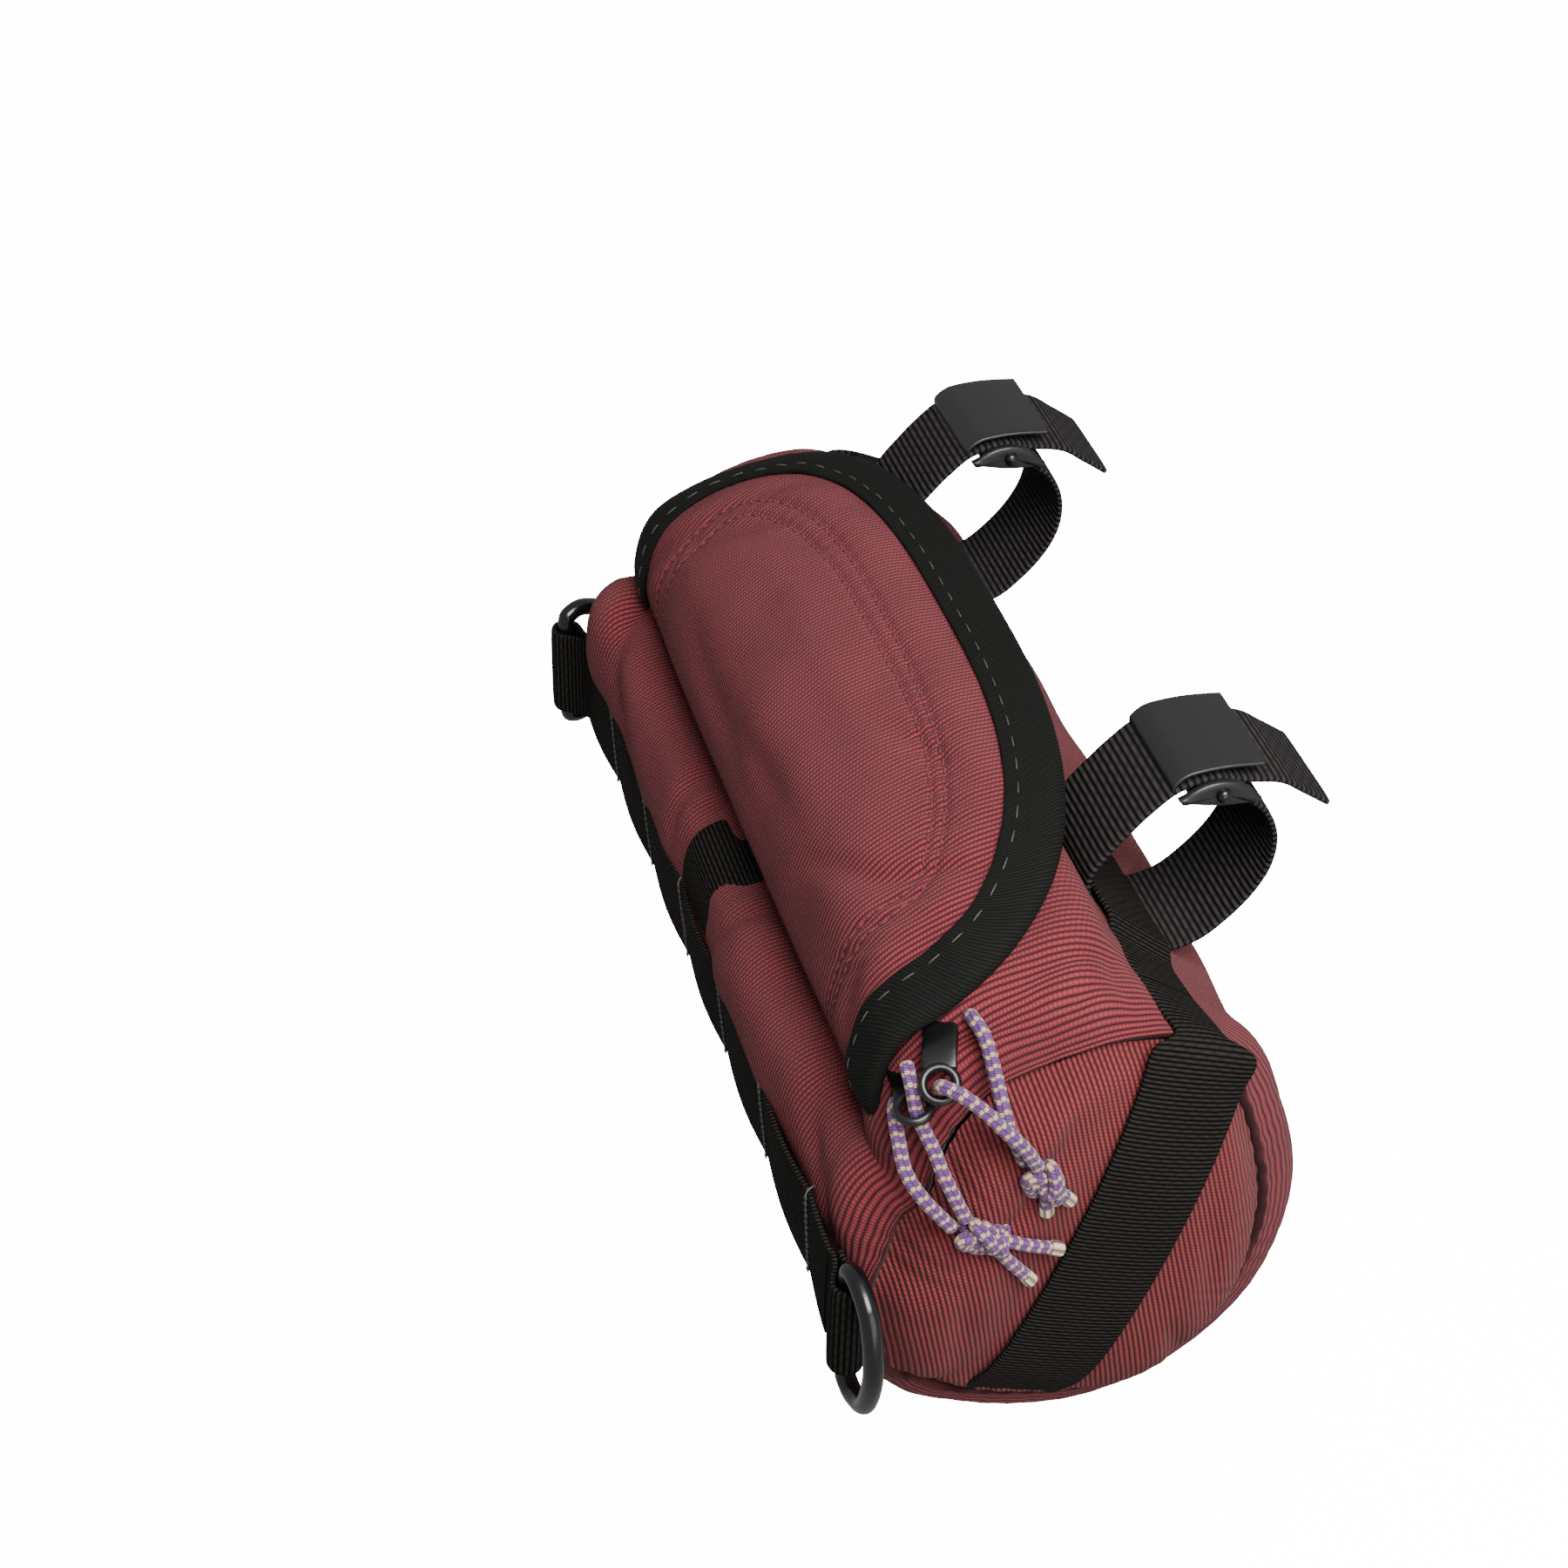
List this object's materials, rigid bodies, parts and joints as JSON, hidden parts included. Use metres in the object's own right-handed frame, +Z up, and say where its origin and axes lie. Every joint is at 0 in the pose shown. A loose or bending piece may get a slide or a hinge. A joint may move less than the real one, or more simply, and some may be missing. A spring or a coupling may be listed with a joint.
{
  "type": "bicycle handlebar bag",
  "caption": "Soft barrel bag for a bicycle handlebar, with a bound lid flap over a zip, daisy-chain webbing, D-rings and buckled bar straps.",
  "frame": {"origin": "on the handlebar's axis, midway between the two bar straps", "axes": "+X along the handlebar towards the near end, which carries the zip pulls; -Y is the bag's front; +Z is up"},
  "size_m": [0.2622, 0.1411, 0.1555],
  "materials": {
    "cloth": "ribbed maroon pack cloth, matt",
    "webbing": "black ribbed webbing, matt",
    "binding": "black herringbone binding tape, matt",
    "zip_plastic": "black, glossy",
    "ring_plastic": "black, glossy",
    "black_metal": "black coated metal, satin",
    "cord": "purple elastic cord with cream bands, matt"
  },
  "bodies": {
    "root": {"bag_body": "cloth", "end_panel_near": "cloth", "end_panel_far": "cloth", "lid_flap": "cloth", "flap_binding": "binding", "zipper_tape": "webbing", "zipper_coil": "zip_plastic", "zipper_slider_1": "zip_plastic", "zipper_slider_2": "zip_plastic", "slider_pull_1": "zip_plastic", "slider_pull_2": "zip_plastic", "pull_cord_1a": "cord", "pull_cord_1b": "cord", "pull_cord_2a": "cord", "pull_cord_2b": "cord", "pull_knot_1": "cord", "pull_knot_2": "cord", "daisy_chain": "webbing", "front_tab": "webbing", "back_webbing": "webbing", "end_webbing_near": "webbing", "end_webbing_far": "webbing", "ring_loop_near": "webbing", "ring_loop_far": "webbing", "d_ring_near": "ring_plastic", "d_ring_far": "ring_plastic", "bar_strap_near": "webbing", "bar_strap_far": "webbing", "buckle_frame_near": "black_metal", "buckle_frame_far": "black_metal", "buckle_cover_near": "black_metal", "buckle_cover_far": "black_metal"}
  },
  "joints": []
}
